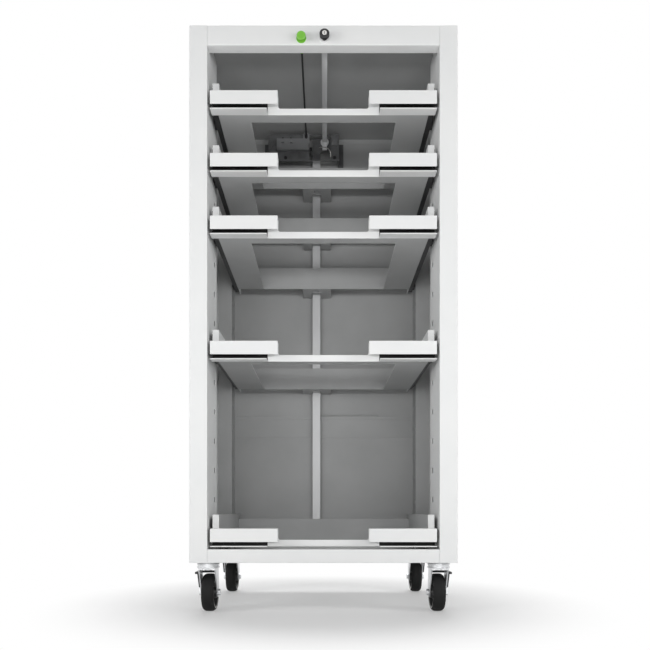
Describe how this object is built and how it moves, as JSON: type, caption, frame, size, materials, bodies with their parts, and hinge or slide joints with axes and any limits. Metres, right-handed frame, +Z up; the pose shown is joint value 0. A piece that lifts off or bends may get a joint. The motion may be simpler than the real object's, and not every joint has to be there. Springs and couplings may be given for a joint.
{
  "type": "tool case cabinet",
  "caption": "Open-fronted sheet-steel cabinet on braked swivel casters, with pull-out trays for stacking tool cases on telescopic slides, a central lock and a push-button release.",
  "frame": {"origin": "on the floor, under the middle of the outer box", "axes": "+Z up, -Y towards the open front, +X to the right seen from the front"},
  "size_m": [0.515, 0.436, 1.13],
  "materials": {
    "body_paint": "light grey powder coat, fine texture",
    "tray_paint": "light grey powder coat, fine texture",
    "zinc": "bright zinc plate",
    "nickel": "nickel plate",
    "black_plastic": "matt black",
    "cable_black": "matt black sheath",
    "green_plastic": "glossy green",
    "grey_plastic": "matt mid grey",
    "rim_plastic": "dark grey moulded wheel centre",
    "tread": "dark grey non-marking tread"
  },
  "bodies": {
    "cabinet": {"side_panel_left": "body_paint", "side_panel_right": "body_paint", "top_panel": "body_paint", "base_pan": "body_paint", "back_panel_upper": "body_paint", "back_panel_lower": "body_paint", "front_uprights": "body_paint", "rear_uprights": "body_paint", "drawer_1_slide_outer": "zinc", "drawer_2_slide_outer": "zinc", "drawer_3_slide_outer": "zinc", "drawer_4_slide_outer": "zinc", "drawer_5_slide_outer": "zinc", "lock_barrel": "nickel", "bar_guides": "black_plastic", "button_collar": "black_plastic", "release_cable": "cable_black", "latch_plate": "zinc", "latch_block": "grey_plastic", "caster_stems": "zinc"},
    "drawer_1": {"drawer_1_tray": "tray_paint", "drawer_1_catch": "tray_paint", "drawer_1_slide_inner": "zinc"},
    "slides_1": {"drawer_1_slide_middle": "zinc"},
    "drawer_2": {"drawer_2_tray": "tray_paint", "drawer_2_catch": "tray_paint", "drawer_2_slide_inner": "zinc"},
    "slides_2": {"drawer_2_slide_middle": "zinc"},
    "drawer_3": {"drawer_3_tray": "tray_paint", "drawer_3_catch": "tray_paint", "drawer_3_slide_inner": "zinc"},
    "slides_3": {"drawer_3_slide_middle": "zinc"},
    "drawer_4": {"drawer_4_tray": "tray_paint", "drawer_4_catch": "tray_paint", "drawer_4_slide_inner": "zinc"},
    "slides_4": {"drawer_4_slide_middle": "zinc"},
    "drawer_5": {"drawer_5_tray": "tray_paint", "drawer_5_catch": "tray_paint", "drawer_5_slide_inner": "zinc"},
    "slides_5": {"drawer_5_slide_middle": "zinc"},
    "swivel_front_left": {"fork_front_left": "zinc", "axle_front_left": "zinc"},
    "wheel_front_left": {"rim_front_left": "rim_plastic", "tyre_front_left": "tread"},
    "brake_front_left": {"brake_front_left": "black_plastic"},
    "swivel_front_right": {"fork_front_right": "zinc", "axle_front_right": "zinc"},
    "wheel_front_right": {"rim_front_right": "rim_plastic", "tyre_front_right": "tread"},
    "brake_front_right": {"brake_front_right": "black_plastic"},
    "swivel_rear_left": {"fork_rear_left": "zinc", "axle_rear_left": "zinc"},
    "wheel_rear_left": {"rim_rear_left": "rim_plastic", "tyre_rear_left": "tread"},
    "brake_rear_left": {"brake_rear_left": "black_plastic"},
    "swivel_rear_right": {"fork_rear_right": "zinc", "axle_rear_right": "zinc"},
    "wheel_rear_right": {"rim_rear_right": "rim_plastic", "tyre_rear_right": "tread"},
    "brake_rear_right": {"brake_rear_right": "black_plastic"},
    "lock": {"lock_knob": "black_plastic", "lock_rod": "zinc"},
    "bar": {"locking_bar": "body_paint", "bar_head": "body_paint", "bar_fingers": "body_paint"},
    "button": {"release_button": "green_plastic"},
    "pawl": {"release_pawl": "zinc"}
  },
  "joints": [
    {"name": "drawer_1_pull", "type": "slide", "parent": "cabinet", "child": "drawer_1", "axis": [0, -1, 0], "range_m": [0, 0.34]},
    {"name": "slides_1_travel", "type": "slide", "parent": "cabinet", "child": "slides_1", "axis": [0, -1, 0], "range_m": [0, 0.17]},
    {"name": "drawer_2_pull", "type": "slide", "parent": "cabinet", "child": "drawer_2", "axis": [0, -1, 0], "range_m": [0, 0.34]},
    {"name": "slides_2_travel", "type": "slide", "parent": "cabinet", "child": "slides_2", "axis": [0, -1, 0], "range_m": [0, 0.17]},
    {"name": "drawer_3_pull", "type": "slide", "parent": "cabinet", "child": "drawer_3", "axis": [0, -1, 0], "range_m": [0, 0.34]},
    {"name": "slides_3_travel", "type": "slide", "parent": "cabinet", "child": "slides_3", "axis": [0, -1, 0], "range_m": [0, 0.17]},
    {"name": "drawer_4_pull", "type": "slide", "parent": "cabinet", "child": "drawer_4", "axis": [0, -1, 0], "range_m": [0, 0.34]},
    {"name": "slides_4_travel", "type": "slide", "parent": "cabinet", "child": "slides_4", "axis": [0, -1, 0], "range_m": [0, 0.17]},
    {"name": "drawer_5_pull", "type": "slide", "parent": "cabinet", "child": "drawer_5", "axis": [0, -1, 0], "range_m": [0, 0.34]},
    {"name": "slides_5_travel", "type": "slide", "parent": "cabinet", "child": "slides_5", "axis": [0, -1, 0], "range_m": [0, 0.17]},
    {"name": "swivel_front_left_turn", "type": "hinge", "parent": "cabinet", "child": "swivel_front_left", "pos_m": [-0.2267, -0.165, 0.0855], "axis": [0, 0, 1], "continuous": true},
    {"name": "wheel_front_left_roll", "type": "hinge", "parent": "swivel_front_left", "child": "wheel_front_left", "pos_m": [-0.2267, -0.1455, 0.0375], "axis": [1, 0, 0], "continuous": true},
    {"name": "brake_front_left_press", "type": "hinge", "parent": "swivel_front_left", "child": "brake_front_left", "pos_m": [-0.2267, -0.157, 0.064], "axis": [-1, 0, 0], "range_deg": [0, 4]},
    {"name": "swivel_front_right_turn", "type": "hinge", "parent": "cabinet", "child": "swivel_front_right", "pos_m": [0.2267, -0.165, 0.0855], "axis": [0, 0, 1], "continuous": true},
    {"name": "wheel_front_right_roll", "type": "hinge", "parent": "swivel_front_right", "child": "wheel_front_right", "pos_m": [0.2267, -0.1455, 0.0375], "axis": [1, 0, 0], "continuous": true},
    {"name": "brake_front_right_press", "type": "hinge", "parent": "swivel_front_right", "child": "brake_front_right", "pos_m": [0.2267, -0.157, 0.064], "axis": [-1, 0, 0], "range_deg": [0, 4]},
    {"name": "swivel_rear_left_turn", "type": "hinge", "parent": "cabinet", "child": "swivel_rear_left", "pos_m": [-0.2267, 0.161, 0.0855], "axis": [0, 0, 1], "continuous": true},
    {"name": "wheel_rear_left_roll", "type": "hinge", "parent": "swivel_rear_left", "child": "wheel_rear_left", "pos_m": [-0.2267, 0.1805, 0.0375], "axis": [1, 0, 0], "continuous": true},
    {"name": "brake_rear_left_press", "type": "hinge", "parent": "swivel_rear_left", "child": "brake_rear_left", "pos_m": [-0.2267, 0.169, 0.064], "axis": [-1, 0, 0], "range_deg": [0, 4]},
    {"name": "swivel_rear_right_turn", "type": "hinge", "parent": "cabinet", "child": "swivel_rear_right", "pos_m": [0.2267, 0.161, 0.0855], "axis": [0, 0, 1], "continuous": true},
    {"name": "wheel_rear_right_roll", "type": "hinge", "parent": "swivel_rear_right", "child": "wheel_rear_right", "pos_m": [0.2267, 0.1805, 0.0375], "axis": [1, 0, 0], "continuous": true},
    {"name": "brake_rear_right_press", "type": "hinge", "parent": "swivel_rear_right", "child": "brake_rear_right", "pos_m": [0.2267, 0.169, 0.064], "axis": [-1, 0, 0], "range_deg": [0, 4]},
    {"name": "lock_turn", "type": "hinge", "parent": "cabinet", "child": "lock", "pos_m": [0.002, -0.174, 1.105], "axis": [0, 1, 0], "range_deg": [0, 90]},
    {"name": "bar_drop", "type": "slide", "parent": "cabinet", "child": "bar", "axis": [0, 0, -1], "range_m": [0, 0.0099]},
    {"name": "button_push", "type": "slide", "parent": "cabinet", "child": "button", "axis": [0, 1, 0], "range_m": [0, 0.0048], "stiffness_N_per_m": 400},
    {"name": "pawl_swing", "type": "hinge", "parent": "cabinet", "child": "pawl", "pos_m": [-0.058, 0.166, 1.0905], "axis": [0, 0, 1], "range_deg": [0, 18.6]}
  ],
  "couplings": [
    {"joint": "slides_1_travel", "follows": "drawer_1_pull", "ratio": 0.5},
    {"joint": "slides_2_travel", "follows": "drawer_2_pull", "ratio": 0.5},
    {"joint": "slides_3_travel", "follows": "drawer_3_pull", "ratio": 0.5},
    {"joint": "slides_4_travel", "follows": "drawer_4_pull", "ratio": 0.5},
    {"joint": "slides_5_travel", "follows": "drawer_5_pull", "ratio": 0.5},
    {"joint": "lock_turn", "follows": "bar_drop", "rad_per_m": 158.66},
    {"joint": "pawl_swing", "follows": "button_push", "rad_per_m": 67.268}
  ]
}
